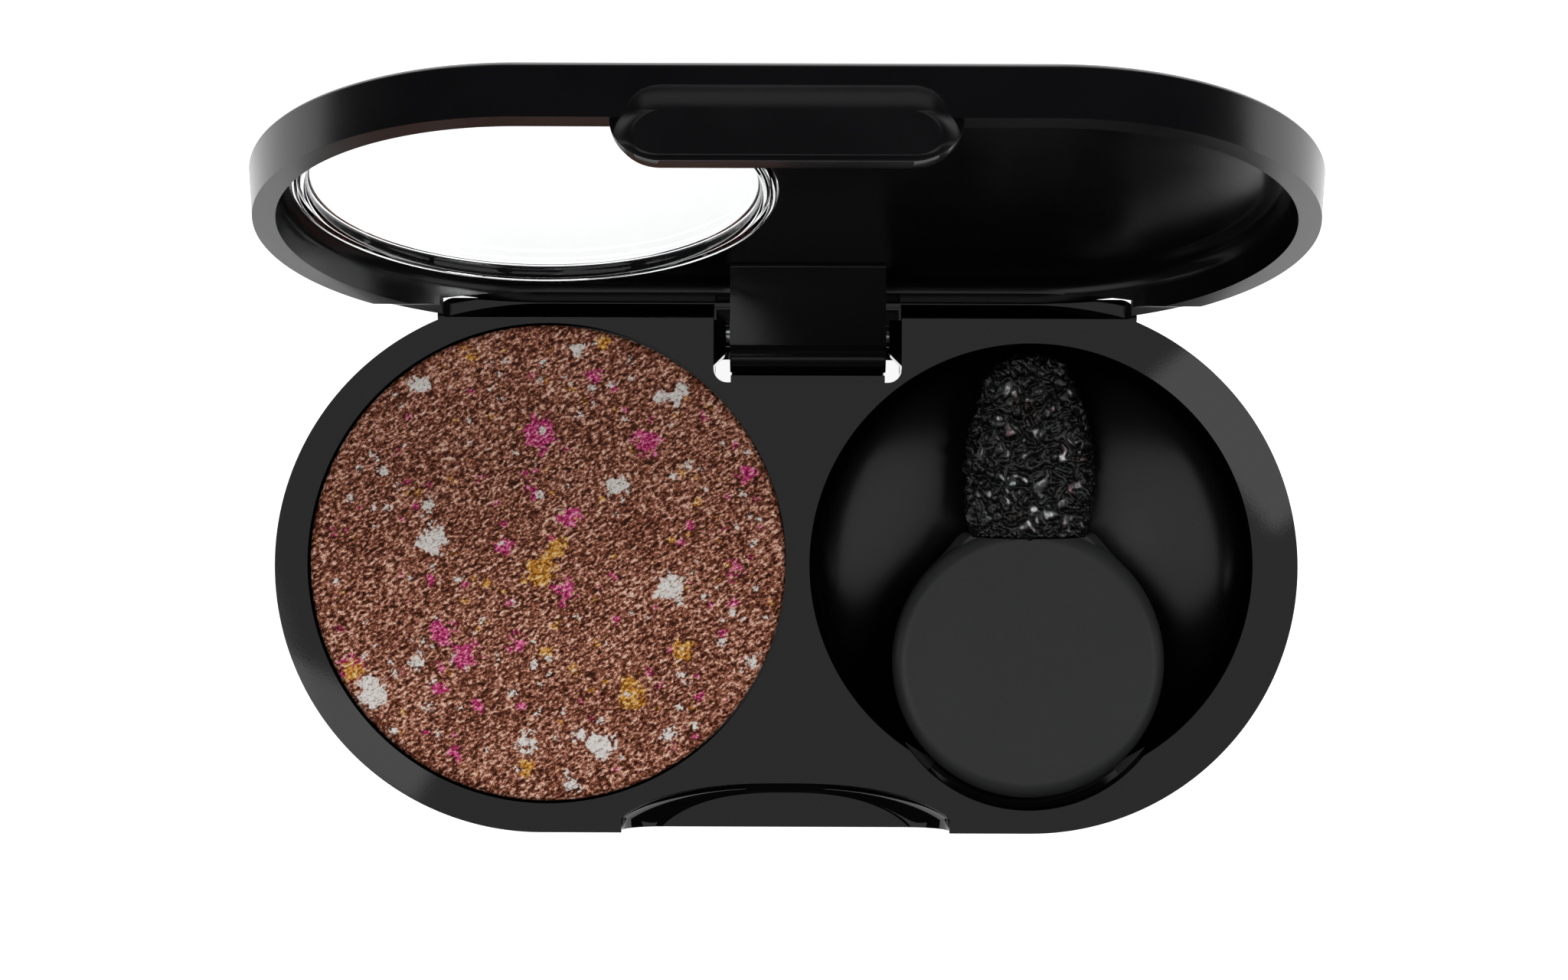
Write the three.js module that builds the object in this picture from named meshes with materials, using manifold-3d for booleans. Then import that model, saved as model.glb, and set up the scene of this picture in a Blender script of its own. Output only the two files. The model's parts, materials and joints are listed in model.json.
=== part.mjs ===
// Round-ended eyeshadow compact with a baked shadow, an applicator well and a windowed lid.
// Millimetres. +X is to the right, +Y towards the hinge, +Z up.
// The origin is the centre of the flat underside, and the lid stands open at its stop.
import * as THREE from 'three';
import { mergeVertices } from 'three/addons/utils/BufferGeometryUtils.js';
import Module from 'manifold-3d';

const wasm = await Module();
wasm.setup();

// Driving dimensions
const END_SPACING = 16.04; // from the middle of the compact to the centre of each round end
const END_RADIUS = 17.5; // outline of the deck and of the lid's rim
const DECK_Z = 8.6; // deck above the underside
const PARTING_Z = 2.6; // where the bottom cover meets the deck body
const WALL = 1.15; // moulded wall
const DECK_THICK = 1.2;
const BASE_DRAFT = 0.3; // how much narrower the base is at the parting line than at the deck
const LID_WALL = 1.46;
const LID_SIDE = 3.13; // height of the lid's side wall above its rim
const LID_FLARE = 0.31; // how much wider the lid is at its top edge than at its rim
const LID_TOP = 3.85; // flat top above the rim
const LID_CEILING = 2.6; // inside of the lid above the rim
const OPEN_ANGLE = THREE.MathUtils.degToRad(108.7);
const HINGE = { y: 15.12, z: DECK_Z - 1.49 }; // pin axis
const KNUCKLE_RADIUS = 2.38;
const KNUCKLE = { left: -3.73, right: 6.49 };
const SLOT = { left: -4.81, right: 7.53, front: 12.05, corner: 0.9 }; // hinge slot in the base
const PIN_RADIUS = 0.7;
const PIN_CLEAR = 0.25;
const PAN = { x: -15.64, y: 0.15, radius: 15.75, floor: 3.6 };
const WELL = { x: 16.05, y: 0.13, radius: 14.53, straight: 2.8, depth: 6.6 };
const DISC = { x: 15.93, y: -6.26, radius: 8.94, thick: 3.0, top: DECK_Z - 0.05 };
const SHELF_RADIUS = 9.67; // recess around the applicator's disc
const SPONGE = { x: 16.0, back: 1.9, length: 12.4, flat: 0.52, radius: 4.42 };
const SPONGE_PLANE_Z = DECK_Z - 1.9; // middle of the sponge's thickness
const WINDOW_RADIUS = 15.3; // outside of the lens's moulded ring
const WINDOW_X = PAN.x - 0.3; // the window sits a little outboard of the pan
const THUMB = { half: 10.75, depth: 14.23, shoulder: 16.44, ledge: DECK_Z - 3.3 };
const TAB = { half: 10.35, top: 2.9, bottom: -2.95, proud: 0.6, thick: 1.5 };
const ARC_STEPS = 24;

// ---------------------------------------------------------------- outlines
// Outline of the compact: two half circles joined by straight sides, anticlockwise.
function stadium(radius) {
  const points = [];
  for (const side of [1, -1]) {
    for (let step = 0; step <= ARC_STEPS; step += 1) {
      const angle = Math.PI * (step / ARC_STEPS - 0.5) + (side > 0 ? 0 : Math.PI);
      points.push(new THREE.Vector2(side * END_SPACING + radius * Math.cos(angle), radius * Math.sin(angle)));
    }
  }
  return points;
}

// ---------------------------------------------------------------- solids
function signedVolume(positions, index) {
  const [a, b, c] = [new THREE.Vector3(), new THREE.Vector3(), new THREE.Vector3()];
  let volume = 0;
  for (let i = 0; i < index.length; i += 3) {
    a.fromArray(positions, 3 * index[i]);
    b.fromArray(positions, 3 * index[i + 1]);
    c.fromArray(positions, 3 * index[i + 2]);
    volume += a.dot(b.cross(c)) / 6;
  }
  return volume;
}

// A closed three.js geometry as a solid whose faces point out.
function solid(geometry) {
  const bare = geometry.clone();
  bare.deleteAttribute('normal');
  bare.deleteAttribute('uv');
  const merged = mergeVertices(bare, 1e-5);
  const positions = new Float32Array(merged.attributes.position.array);
  const triangles = [];
  for (let i = 0; i < merged.index.count; i += 3) {
    const corners = [0, 1, 2].map((k) => merged.index.getX(i + k));
    if (new Set(corners).size === 3) triangles.push(...corners);
  }
  if (signedVolume(positions, triangles) < 0) triangles.reverse();
  const triVerts = new Uint32Array(triangles);
  return new wasm.Manifold(new wasm.Mesh({ numProp: 3, vertProperties: positions, triVerts }));
}

// A solid through outlines of equal count at rising heights: levels are [radius, z].
function loft(levels) {
  const rings = levels.map(([radius, z]) => stadium(radius).map((p) => new THREE.Vector3(p.x, p.y, z)));
  const count = rings[0].length;
  const last = (rings.length - 1) * count;
  const index = [];
  for (let ring = 0; ring < rings.length - 1; ring += 1) {
    for (let j = 0; j < count; j += 1) {
      const a = ring * count + j;
      const b = ring * count + ((j + 1) % count);
      index.push(a, b, b + count, a, b + count, a + count);
    }
  }
  for (let j = 1; j < count - 1; j += 1) {
    index.push(0, j + 1, j);
    index.push(last, last + j, last + j + 1);
  }
  const geometry = new THREE.BufferGeometry().setFromPoints(rings.flat());
  geometry.setIndex(index);
  return solid(geometry);
}

// A flat outline from one height to another.
function prism(points, bottom, top) {
  const shape = new THREE.Shape(points.map(([x, y]) => new THREE.Vector2(x, y)));
  const geometry = new THREE.ExtrudeGeometry(shape, { depth: top - bottom, bevelEnabled: false });
  return solid(geometry.translate(0, 0, bottom));
}

// An outline in the Y-Z plane carried along X.
function slab(points, left, right) {
  const shape = new THREE.Shape(points.map(([y, z]) => new THREE.Vector2(y, z)));
  const geometry = new THREE.ExtrudeGeometry(shape, { depth: right - left, bevelEnabled: false });
  const axes = new THREE.Matrix4().makeBasis(
    new THREE.Vector3(0, 1, 0),
    new THREE.Vector3(0, 0, 1),
    new THREE.Vector3(1, 0, 0),
  );
  return solid(geometry.applyMatrix4(axes).translate(left, 0, 0));
}

function box(x0, x1, y0, y1, z0, z1) {
  const geometry = new THREE.BoxGeometry(x1 - x0, y1 - y0, z1 - z0);
  return solid(geometry.translate((x0 + x1) / 2, (y0 + y1) / 2, (z0 + z1) / 2));
}

// A profile of [radius, z] turned about a vertical axis at (x, y).
function turned(profile, x, y, segments = 48) {
  const geometry = new THREE.LatheGeometry(profile.map(([r, z]) => new THREE.Vector2(r, z)), segments);
  return solid(geometry.rotateX(Math.PI / 2).translate(x, y, 0));
}

function cylinder(radius, bottom, top, x, y, segments = 48) {
  return turned([[0, bottom], [radius, bottom], [radius, top], [0, top]], x, y, segments);
}

// A round bar along X.
function bar(radius, left, right, y, z, segments = 24) {
  const geometry = new THREE.CylinderGeometry(radius, radius, right - left, segments);
  return solid(geometry.rotateZ(Math.PI / 2).translate((left + right) / 2, y, z));
}

function cut(body, ...tools) {
  return tools.reduce((left, tool) => left.subtract(tool), body);
}

function join(body, ...others) {
  return others.reduce((whole, other) => whole.add(other), body);
}

function named(name, body, color, roughness, metalness = 0) {
  const mesh = body.getMesh();
  const geometry = new THREE.BufferGeometry();
  geometry.setAttribute('position', new THREE.BufferAttribute(new Float32Array(mesh.vertProperties), 3));
  geometry.setIndex(new THREE.BufferAttribute(new Uint32Array(mesh.triVerts), 1));
  geometry.computeVertexNormals();
  const node = new THREE.Mesh(geometry, new THREE.MeshStandardMaterial({ color, roughness, metalness }));
  node.name = name;
  return node;
}

// ---------------------------------------------------------------- shared cutting shapes
const CLEAR = 1; // how far a cutting shape runs past the face that it opens

// Hinge slot: open at the back, with rounded front corners, right through the base.
function hingeSlot() {
  const { left, right, front, corner } = SLOT;
  const back = END_RADIUS + CLEAR;
  const points = [[right, back], [left, back]];
  for (let step = 0; step <= 4; step += 1) {
    const angle = Math.PI + (Math.PI / 8) * step;
    points.push([left + corner + corner * Math.cos(angle), front + corner + corner * Math.sin(angle)]);
  }
  for (let step = 0; step <= 4; step += 1) {
    const angle = 1.5 * Math.PI + (Math.PI / 8) * step;
    points.push([right - corner + corner * Math.cos(angle), front + corner + corner * Math.sin(angle)]);
  }
  return prism(points, -CLEAR, DECK_Z + CLEAR);
}

// Thumb notch in the front edge, grown all round by margin. Its back is a shallow ellipse.
function thumbNotch(margin, bottom, top) {
  const half = THUMB.half + margin;
  const points = [[-half, -END_RADIUS - CLEAR], [half, -END_RADIUS - CLEAR]];
  const steps = 16;
  for (let step = 0; step <= steps; step += 1) {
    const angle = (Math.PI * step) / steps;
    const rise = (THUMB.shoulder - THUMB.depth) * Math.sin(angle) ** 0.8;
    points.push([half * Math.cos(angle), margin - THUMB.shoulder + rise]);
  }
  return prism(points, bottom, top);
}

// ---------------------------------------------------------------- base
function baseEnvelope() {
  return loft([[END_RADIUS - BASE_DRAFT, PARTING_Z], [END_RADIUS, DECK_Z]]);
}

// Space behind the sloping rear face that the open lid needs.
const REAR = { deck: 16.27, foot: 17.45, drop: 4.0 };
function rearRelief() {
  const slope = (REAR.foot - REAR.deck) / REAR.drop;
  const back = END_RADIUS + 2 * CLEAR;
  return slab([
    [REAR.deck - slope * CLEAR, DECK_Z + CLEAR],
    [REAR.foot + slope * CLEAR, DECK_Z - REAR.drop - CLEAR],
    [back, DECK_Z - REAR.drop - CLEAR],
    [back, DECK_Z + CLEAR],
  ], -END_SPACING - END_RADIUS, END_SPACING + END_RADIUS);
}

// The bowl's inside is a straight wall above half an ellipsoid; grow makes its outside.
function bowlShape(grow, top) {
  const shoulderZ = DECK_Z - WELL.straight;
  const shoulderRadius = WELL.radius - 0.13 + grow;
  const drop = WELL.depth - WELL.straight + grow;
  const profile = [[0, top], [WELL.radius + grow, top], [shoulderRadius, shoulderZ]];
  const steps = 8;
  for (let step = 1; step <= steps; step += 1) {
    const angle = (Math.PI / 2) * (step / steps);
    profile.push([shoulderRadius * Math.cos(angle), shoulderZ - drop * Math.sin(angle)]);
  }
  profile[profile.length - 1][0] = 0;
  return turned(profile, WELL.x, WELL.y);
}

const SHELF_Z = DISC.top - DISC.thick - 0.1;
const HINGE_WALL = 1.6;
const LUG = { thick: 0.8, front: 13.15, top: DECK_Z - 0.35, bottom: HINGE.z - 2.6 };

// Small plate on a wall of the hinge slot, chamfered at its front, which the pin runs through.
function lug(wallX, side) {
  const face = wallX + side * LUG.thick;
  const back = REAR.deck - 0.1;
  const root = wallX - side * 0.2;
  const outline = [[root, LUG.front], [wallX, LUG.front], [face, LUG.front + LUG.thick], [face, back], [root, back]];
  return prism(outline, LUG.bottom, LUG.top);
}

// Slot for one end of the pin, open below so that the pin goes in before the bottom cover.
function pinSaddle(left, right) {
  const radius = PIN_RADIUS + PIN_CLEAR;
  return join(
    bar(radius, left, right, HINGE.y, HINGE.z),
    box(left, right, HINGE.y - radius, HINGE.y + radius, PARTING_Z - CLEAR, HINGE.z),
  );
}

const PIN = { left: SLOT.left - HINGE_WALL + 0.2, right: SLOT.right + HINGE_WALL - 0.2 };
const REST_POSTS = [-3.45, 3.45].map((offset) => [DISC.x + offset, -2.6]);

function deckBody() {
  const inside = loft([
    [END_RADIUS - BASE_DRAFT - WALL, PARTING_Z - CLEAR],
    [END_RADIUS - WALL - BASE_DRAFT * 0.2, DECK_Z - DECK_THICK],
  ]);
  const slotLeft = SLOT.left - HINGE_WALL;
  const slotRight = SLOT.right + HINGE_WALL;
  const supports = join(
    cylinder(PAN.radius + 0.6, PAN.floor - 0.8, DECK_Z, PAN.x, PAN.y),
    bowlShape(0.8, DECK_Z),
    cylinder(SHELF_RADIUS + 0.9, SHELF_Z - 1.0, DECK_Z, DISC.x, DISC.y - 0.05),
    thumbNotch(0.9, THUMB.ledge - 1.0, DECK_Z),
    box(slotLeft, SLOT.left, SLOT.front - 1.2, END_RADIUS, PARTING_Z, DECK_Z),
    box(SLOT.right, slotRight, SLOT.front - 1.2, END_RADIUS, PARTING_Z, DECK_Z),
    box(slotLeft, slotRight, SLOT.front - 1.2, SLOT.front + 0.4, PARTING_Z, DECK_Z),
  ).intersect(join(baseEnvelope(), box(-40, 40, -16, 16, 0, PARTING_Z)));
  const posts = REST_POSTS.map(([x, y]) => cylinder(1.0, 2.2, SHELF_Z, x, y, 16));
  const hollowed = cut(
    join(cut(baseEnvelope(), inside), supports),
    cylinder(PAN.radius, PAN.floor, DECK_Z + CLEAR, PAN.x, PAN.y),
    bowlShape(0, DECK_Z + CLEAR),
    cylinder(SHELF_RADIUS, SHELF_Z, DECK_Z + CLEAR, DISC.x, DISC.y - 0.05),
    thumbNotch(0, THUMB.ledge, DECK_Z + CLEAR),
    hingeSlot(),
    rearRelief(),
  );
  const catchLip = box(-2.6, 2.6, -THUMB.depth - 0.62, -THUMB.depth + 0.3, DECK_Z - 1.1, DECK_Z - 0.25);
  const whole = join(hollowed, ...posts, catchLip, lug(SLOT.left, 1), lug(SLOT.right, -1));
  return cut(
    whole,
    pinSaddle(PIN.left - 0.2, SLOT.left + LUG.thick + 0.1),
    pinSaddle(SLOT.right - LUG.thick - 0.1, PIN.right + 0.2),
  );
}

function bottomCover() {
  const radius = END_RADIUS - BASE_DRAFT;
  const shell = cut(
    loft([[radius - 1.2, 0], [radius - 0.85, 0.12], [radius - 0.35, 0.45], [radius - 0.08, 1.2], [radius, PARTING_Z]]),
    loft([[radius - WALL - 0.3, 1.0], [radius - WALL, 1.4], [radius - WALL, PARTING_Z + CLEAR]]),
  );
  // Sloped ledge at the back of the slot, on which the open lid's knuckle comes to rest.
  const stop = slab([
    [14.7, 0], [14.7, DECK_Z - 4.35], [17.05, DECK_Z - 5.05], [17.05, 0],
  ], SLOT.left + 0.1, SLOT.right - 0.1);
  const frontLedge = box(KNUCKLE.left, KNUCKLE.right, SLOT.front - 0.6, 12.6, 0, DECK_Z - 3.2);
  // Openings right through the base in the two front corners of the slot.
  const corners = [[SLOT.left, KNUCKLE.left], [KNUCKLE.right, SLOT.right]].map(
    ([left, right]) => box(left, right, SLOT.front, 13.75, -CLEAR, PARTING_Z + CLEAR),
  );
  const cleared = box(KNUCKLE.left - 0.1, KNUCKLE.right + 0.1, SLOT.front - 0.7, SLOT.front + 0.05, PARTING_Z - 1.4, DECK_Z);
  // Low rail along the back, under the open lid.
  const railHalf = 23.4;
  const rail = box(-railHalf, railHalf, 16.6, 17.8, 0.4, 2.5);
  const postTop = HINGE.z - PIN_RADIUS - 0.1;
  const posts = [[PIN.left, SLOT.left - 0.3], [SLOT.right + 0.3, PIN.right]].map(
    ([left, right]) => box(left, right, HINGE.y - 0.6, HINGE.y + 0.6, 0.8, postTop),
  );
  return join(cut(join(shell, stop, rail), ...corners), cut(frontLedge, cleared), ...posts);
}

// ---------------------------------------------------------------- shadow
function pressedPowder() {
  const edge = DECK_Z - 0.35;
  const radius = PAN.radius - 0.15;
  const bottom = PAN.floor + 1.1;
  return turned([
    [0, bottom], [radius, bottom], [radius, edge - 0.15], [radius - 0.15, edge],
    [radius * 0.7, edge + 0.18], [radius * 0.35, edge + 0.3], [0, edge + 0.34],
  ], PAN.x, PAN.y);
}

function powderTile() {
  return cylinder(PAN.radius - 0.35, PAN.floor + 0.3, PAN.floor + 1.1, PAN.x, PAN.y);
}

function tileAdhesive() {
  const [inner, outer] = [6, 12];
  const top = PAN.floor + 0.3;
  return turned([
    [inner, PAN.floor], [outer, PAN.floor], [outer, top], [inner, top], [inner, PAN.floor],
  ], PAN.x, PAN.y, 36);
}

// ---------------------------------------------------------------- applicator
function applicatorHandle() {
  const { radius, thick, top, x, y } = DISC;
  const bottom = top - thick;
  const disc = turned([
    [0, bottom], [radius - 1.2, bottom], [radius - 0.4, bottom + 0.25], [radius, bottom + 0.9],
    [radius, top - 0.9], [radius - 0.35, top - 0.3], [radius - 1.0, top], [0, top - 0.08],
  ], x, y);
  const neck = prism(
    [[x - 6.1, 0.2], [x + 6.1, 0.2], [x + 4.45, 2.3], [x - 4.45, 2.3]],
    SPONGE_PLANE_Z - 1.0,
    top - 0.45,
  );
  const seat = box(SPONGE.x - 4.15, SPONGE.x + 4.15, SPONGE.back - 0.1, 4, bottom - 1, DECK_Z + 1);
  const stem = solid(
    new THREE.CylinderGeometry(0.9, 1.0, 7, 16).translate(SPONGE.x, SPONGE.back + 3.0, SPONGE_PLANE_Z),
  );
  return join(cut(join(disc, neck), seat), stem);
}

function spongeTip() {
  const { x, back, length, flat, radius } = SPONGE;
  const bore = 1.25;
  const profile = [[0, 0], [radius * 0.9, 0]];
  const steps = 10;
  for (let step = 0; step <= steps; step += 1) {
    const angle = (Math.PI / 2) * (step / steps);
    profile.push([radius * Math.cos(angle) ** 0.85, length * (0.36 + 0.64 * Math.sin(angle))]);
  }
  profile[profile.length - 1][0] = 0;
  const egg = new THREE.LatheGeometry(profile.map(([r, y]) => new THREE.Vector2(r, y)), 32);
  egg.scale(1, 1, flat).translate(x, back, SPONGE_PLANE_Z);
  const hole = new THREE.CylinderGeometry(bore, bore, 8, 16).translate(x, back + 2.9, SPONGE_PLANE_Z);
  return cut(solid(egg), solid(hole));
}

// ---------------------------------------------------------------- lid, drawn closed
// Heights here are above the rim, and y is the same as in the base when the lid is shut.
const RIM_GAP = 0.08; // between the closed rim and the deck

function lidShell() {
  const side = END_RADIUS + LID_FLARE;
  const outer = loft([
    [END_RADIUS, 0], [side, LID_SIDE], [side - 0.25, LID_SIDE + 0.34], [side - 0.9, LID_TOP - 0.13], [side - 2.0, LID_TOP],
  ]);
  const room = END_RADIUS - LID_WALL;
  const inner = loft([[room, -CLEAR], [room, LID_CEILING - 0.4], [room - 0.45, LID_CEILING]]);
  // Shallow dished panel over the applicator, with a straight left edge.
  const dish = loft([[room - 1.3, LID_CEILING - CLEAR], [room - 1.3, LID_CEILING], [room - 2.3, LID_CEILING + 0.4]])
    .intersect(box(7.6, 60, -60, 60, 0, LID_TOP));
  const shell = cut(outer, inner, dish, cylinder(WINDOW_RADIUS + 0.15, -CLEAR, LID_TOP + CLEAR, WINDOW_X, 0));
  // Rear relief: a low step along the whole back and a deep step over the base's rear face.
  const lowStep = slab([[13.5, -CLEAR], [13.5, 0], [14.1, 0.28], [14.6, 0.35], [30, 0.35], [30, -CLEAR]], -60, 60);
  const deepStep = slab([[13.9, -CLEAR], [13.9, 0.35], [16, 1.85], [30, 1.85], [30, -CLEAR]], -22.8, 22.8);
  const rimmed = cut(shell, lowStep, deepStep);
  return join(cut(join(rimmed, knuckle()), knuckleBore()), thumbTab());
}

const HINGE_RISE = HINGE.z - DECK_Z - RIM_GAP; // pin axis seen from the lid's rim

// Block that hangs from the lid into the hinge slot, round about the pin, with a flat front
// that ends in a corner and a small round lip under it.
function knuckle() {
  const back = HINGE.y + KNUCKLE_RADIUS;
  const front = HINGE.y - KNUCKLE_RADIUS;
  const top = LID_CEILING + 0.3;
  const web = box(KNUCKLE.left, KNUCKLE.right, front, back, HINGE_RISE, top);
  const corner = box(KNUCKLE.left, KNUCKLE.right, front, HINGE.y, HINGE_RISE - 1.4, HINGE_RISE);
  const barrel = bar(KNUCKLE_RADIUS, KNUCKLE.left, KNUCKLE.right, HINGE.y, HINGE_RISE, 40);
  const lip = bar(0.65, KNUCKLE.left + 0.08, KNUCKLE.right - 0.08, HINGE.y - 0.93, HINGE_RISE - 1.9, 16);
  return join(barrel, web, corner, lip);
}

function knuckleBore() {
  return bar(PIN_RADIUS + PIN_CLEAR, KNUCKLE.left - CLEAR, KNUCKLE.right + CLEAR, HINGE.y, HINGE_RISE);
}

// Pill-shaped tab on the front wall that hangs into the base's thumb notch, with its snap.
function thumbTab() {
  const { half, top, bottom, proud, thick } = TAB;
  const round = (top - bottom) / 2;
  const middle = (top + bottom) / 2;
  const outline = [];
  for (const side of [1, -1]) {
    for (let step = 0; step <= 10; step += 1) {
      const angle = Math.PI * (step / 10 - 0.5) + (side > 0 ? 0 : Math.PI);
      outline.push(new THREE.Vector2(side * (half - round) + round * Math.cos(angle), middle + round * Math.sin(angle)));
    }
  }
  const edge = 0.35;
  const geometry = new THREE.ExtrudeGeometry(new THREE.Shape(outline), {
    depth: thick + proud - 2 * edge, bevelThickness: edge, bevelSize: edge, bevelOffset: -edge, bevelSegments: 2,
  });
  geometry.rotateX(Math.PI / 2).translate(0, -END_RADIUS + thick - edge, 0);
  const snap = slab([[-16.3, -1.5], [-15.0, -1.75], [-15.0, -2.15], [-16.3, -2.6]], -2.3, 2.3);
  return join(solid(geometry), snap);
}

function windowLens() {
  const ring = [
    [0, 3.0], [WINDOW_RADIUS - 1.0, 3.0], [WINDOW_RADIUS - 0.9, 2.35], [WINDOW_RADIUS - 0.7, 2.25],
    [WINDOW_RADIUS - 0.15, 2.25], [WINDOW_RADIUS, 2.4], [WINDOW_RADIUS, LID_TOP - 0.05],
    [WINDOW_RADIUS - 0.1, LID_TOP], [0, LID_TOP],
  ];
  return turned(ring, WINDOW_X, 0, 60);
}

// ---------------------------------------------------------------- assembly
const BLACK = 0x1a1b1b;
const group = new THREE.Group();
group.add(
  named('bottom_cover', bottomCover(), BLACK, 0.45),
  named('deck_body', deckBody(), BLACK, 0.4),
  named('hinge_pin', bar(PIN_RADIUS, PIN.left, PIN.right, HINGE.y, HINGE.z), 0xb8babd, 0.25, 1),
  named('tile_adhesive', tileAdhesive(), 0xe9e4d6, 0.7),
  named('powder_tile', powderTile(), 0xa9a39a, 0.8),
  named('pressed_powder', pressedPowder(), 0x774430, 0.75),
);

const applicator = new THREE.Group();
applicator.add(
  named('applicator_handle', applicatorHandle(), BLACK, 0.4),
  named('sponge_tip', spongeTip(), 0x111211, 0.9),
);
group.add(applicator);

// The lid's pieces are drawn shut, moved so that the pin is at the origin, then swung open.
const lid = new THREE.Group();
lid.position.set(0, HINGE.y, HINGE.z);
lid.rotation.x = -OPEN_ANGLE;
for (const piece of [
  named('lid_shell', lidShell(), BLACK, 0.35),
  named('window_lens', windowLens(), 0xf4f6f7, 0.05),
]) {
  piece.geometry.translate(0, -HINGE.y, -HINGE_RISE);
  lid.add(piece);
}
group.add(lid);

export default group;
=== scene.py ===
"""Looks of the round-ended eyeshadow compact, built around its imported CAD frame.

Shapes are drawn in millimetres in the frame's axes, and mesh_object() turns them into metres.
The lid is drawn shut, with heights above its rim, and open_lid() swings it to its rest pose.
"""

import json
import math

import bmesh
import bpy
import numpy as np
from mathutils import Matrix, Vector


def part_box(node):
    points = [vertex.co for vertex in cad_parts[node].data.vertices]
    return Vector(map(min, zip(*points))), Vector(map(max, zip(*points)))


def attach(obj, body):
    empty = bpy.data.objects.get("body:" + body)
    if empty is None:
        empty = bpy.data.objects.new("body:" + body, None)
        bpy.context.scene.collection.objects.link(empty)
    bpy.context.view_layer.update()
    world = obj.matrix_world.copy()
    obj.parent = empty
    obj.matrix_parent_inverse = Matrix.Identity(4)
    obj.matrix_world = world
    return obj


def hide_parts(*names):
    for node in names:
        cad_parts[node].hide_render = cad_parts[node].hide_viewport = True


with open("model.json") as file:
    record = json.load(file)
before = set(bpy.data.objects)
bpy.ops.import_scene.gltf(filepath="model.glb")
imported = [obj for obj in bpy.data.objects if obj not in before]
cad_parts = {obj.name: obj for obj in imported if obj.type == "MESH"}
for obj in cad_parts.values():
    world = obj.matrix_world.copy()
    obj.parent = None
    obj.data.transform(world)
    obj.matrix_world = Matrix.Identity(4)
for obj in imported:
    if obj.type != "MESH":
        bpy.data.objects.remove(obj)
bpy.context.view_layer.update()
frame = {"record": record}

MM = 0.001


# ------------------------------------------------------------------ sizes from the frame, in mm
def box_mm(node):
    """Lowest and highest corners of a frame node, in mm."""
    low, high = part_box(node)
    return Vector(low) / MM, Vector(high) / MM


DECK_LOW, DECK_HIGH = box_mm("deck_body")
POWDER_LOW, POWDER_HIGH = box_mm("pressed_powder")
TILE_LOW, TILE_HIGH = box_mm("powder_tile")
TAPE_LOW, TAPE_HIGH = box_mm("tile_adhesive")
HANDLE_LOW, HANDLE_HIGH = box_mm("applicator_handle")
SPONGE_LOW, SPONGE_HIGH = box_mm("sponge_tip")
PIN_LOW, PIN_HIGH = box_mm("hinge_pin")
LENS_LOW, LENS_HIGH = box_mm("window_lens")
LID_HIGH = box_mm("lid_shell")[1]
HINGE = next(joint for joint in frame["record"]["behaviour"]["joints"] if joint["name"] == "lid_hinge")

DECK_Z = DECK_HIGH.z
END_RADIUS = -DECK_LOW.y
END_SPACING = DECK_HIGH.x - END_RADIUS
HINGE_Y = HINGE["pos_m"][1] / MM
HINGE_Z = HINGE["pos_m"][2] / MM
OPEN_ANGLE = -math.radians(HINGE["range_deg"][0])
PAN_X = (POWDER_LOW.x + POWDER_HIGH.x) / 2
PAN_Y = (POWDER_LOW.y + POWDER_HIGH.y) / 2
POWDER_RADIUS = (POWDER_HIGH.x - POWDER_LOW.x) / 2
PAN_RADIUS = POWDER_RADIUS + 0.15
PAN_FLOOR = TAPE_LOW.z
DISC_X = (HANDLE_LOW.x + HANDLE_HIGH.x) / 2
DISC_RADIUS = (HANDLE_HIGH.x - HANDLE_LOW.x) / 2
DISC_Y = HANDLE_LOW.y + DISC_RADIUS
DISC_TOP = HANDLE_HIGH.z
DISC_BOTTOM = HANDLE_LOW.z
SPONGE_X = (SPONGE_LOW.x + SPONGE_HIGH.x) / 2
SPONGE_Z = (SPONGE_LOW.z + SPONGE_HIGH.z) / 2
LENS_RADIUS = (LENS_HIGH.x - LENS_LOW.x) / 2
WINDOW_X = (LENS_LOW.x + LENS_HIGH.x) / 2
LID_FLARE = LID_HIGH.x - END_SPACING - END_RADIUS

# Moulding details that the frame's boxes don't give, in mm
PARTING_Z = 2.6
WALL = 1.15
DECK_THICK = 1.2
BASE_DRAFT = 0.3
WELL_X = 16.05
WELL_Y = 0.13
WELL_RADIUS = 14.53
WELL_STRAIGHT = 2.8
WELL_DEPTH = 6.6
SHELF_RADIUS = 9.67
SHELF_Z = DISC_BOTTOM - 0.1
SLOT_LEFT, SLOT_RIGHT, SLOT_FRONT = -4.81, 7.53, 12.05
KNUCKLE_LEFT, KNUCKLE_RIGHT, KNUCKLE_RADIUS = -3.73, 6.49, 2.38
REAR_DECK_Y, REAR_FOOT_Y, REAR_DROP = 16.27, 17.45, 4.0
THUMB_HALF, THUMB_DEPTH, THUMB_SHOULDER = 10.75, 14.23, 16.44
THUMB_LEDGE_Z = DECK_Z - 3.3
RIM_GAP = 0.08
HINGE_RISE = HINGE_Z - DECK_Z - RIM_GAP
LID_SIDE = 3.13
LID_TOP = 3.85
LID_WALL = 1.46
LID_CEILING = 2.6
PIN_HOLE = PIN_HIGH.z - HINGE_Z + 0.1
RAIL_HALF, RAIL_BACK = 23.4, 17.8
CORNER_BACK = 13.75
BRUSH_LEAN = math.radians(33)


# ------------------------------------------------------------------ mesh tools
def mesh_object(name, points, faces):
    """A mesh from points in mm. Faces are index lists."""
    mesh = bpy.data.meshes.new(name)
    mesh.from_pydata([(x * MM, y * MM, z * MM) for x, y, z in points], [], faces)
    mesh.validate()
    piece = bpy.data.objects.new(name, mesh)
    bpy.context.scene.collection.objects.link(piece)
    return piece


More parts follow.
